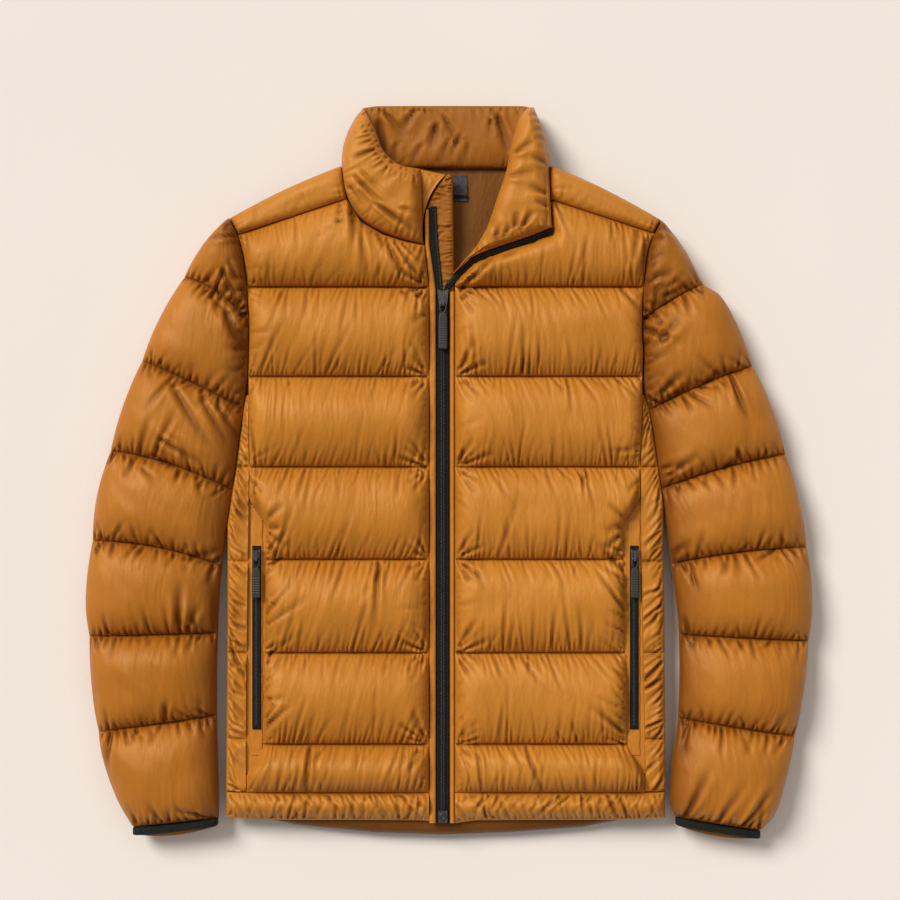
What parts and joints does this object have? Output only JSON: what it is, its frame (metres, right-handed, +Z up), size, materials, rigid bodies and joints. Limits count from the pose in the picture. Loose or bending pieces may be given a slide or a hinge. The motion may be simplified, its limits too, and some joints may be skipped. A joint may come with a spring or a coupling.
{
  "type": "puffer jacket",
  "caption": "Quilted puffer jacket laid flat, front up, with a stand collar turned out on one side, a zip front, zip pockets and bound cuffs.",
  "frame": {"origin": "on the surface that the jacket lies on, under the centre of its outline", "axes": "+Z up from the surface, +Y towards the collar, +X towards the sleeve on the side of the turned-out collar corner"},
  "size_m": [0.7837, 0.7921, 0.061],
  "materials": {
    "shell_nylon": "satin ochre ripstop nylon, puckered along its quilting",
    "lining_nylon": "plain darker ochre nylon",
    "zip_tape": "black woven polyester tape with a smooth face",
    "zip_coil": "charcoal nylon coil",
    "slider_metal": "gunmetal, satin",
    "pull_tab": "black moulded tab",
    "cuff_binding": "black stretch binding",
    "loop_tape": "dark grey woven tape"
  },
  "bodies": {
    "jacket": {"back": "lining_nylon", "back_yoke": "lining_nylon", "front_left": "shell_nylon", "front_right": "shell_nylon", "side_left": "shell_nylon", "side_right": "shell_nylon", "yoke_left": "shell_nylon", "yoke_right": "shell_nylon", "hem_left": "shell_nylon", "hem_right": "shell_nylon", "sleeve_left_front": "shell_nylon", "sleeve_left_back": "shell_nylon", "sleeve_right_front": "shell_nylon", "sleeve_right_back": "shell_nylon", "cuff_left_front": "cuff_binding", "cuff_left_back": "shell_nylon", "cuff_right_front": "cuff_binding", "cuff_right_back": "shell_nylon", "collar_left": "shell_nylon", "collar_back": "shell_nylon", "collar_right": "shell_nylon", "zip_guard": "shell_nylon", "placket_left": "shell_nylon", "placket_right": "shell_nylon", "zip_tape_left": "zip_tape", "zip_tape_right": "zip_tape", "zip_chain": "zip_coil", "zip_box": "slider_metal", "zip_slider": "slider_metal", "pocket_left_welt": "shell_nylon", "pocket_left_zip": "zip_tape", "pocket_left_slider": "slider_metal", "pocket_right_welt": "shell_nylon", "pocket_right_zip": "zip_tape", "pocket_right_slider": "slider_metal", "hanger_loop": "loop_tape"},
    "main_pull": {"zip_pull": "pull_tab"},
    "left_pocket_pull": {"pocket_left_pull": "pull_tab"},
    "right_pocket_pull": {"pocket_right_pull": "pull_tab"}
  },
  "joints": [
    {"name": "main_pull_swing", "type": "hinge", "parent": "jacket", "child": "main_pull", "pos_m": [-0.0065, 0.1834, 0.0402], "axis": [-1, 0, 0], "range_deg": [0, 150]},
    {"name": "left_pull_swing", "type": "hinge", "parent": "jacket", "child": "left_pocket_pull", "pos_m": [-0.2066, -0.0905, 0.0443], "axis": [-1, 0, 0], "range_deg": [0, 150]},
    {"name": "right_pull_swing", "type": "hinge", "parent": "jacket", "child": "right_pocket_pull", "pos_m": [0.199, -0.0905, 0.0443], "axis": [-1, 0, 0], "range_deg": [0, 150]}
  ]
}
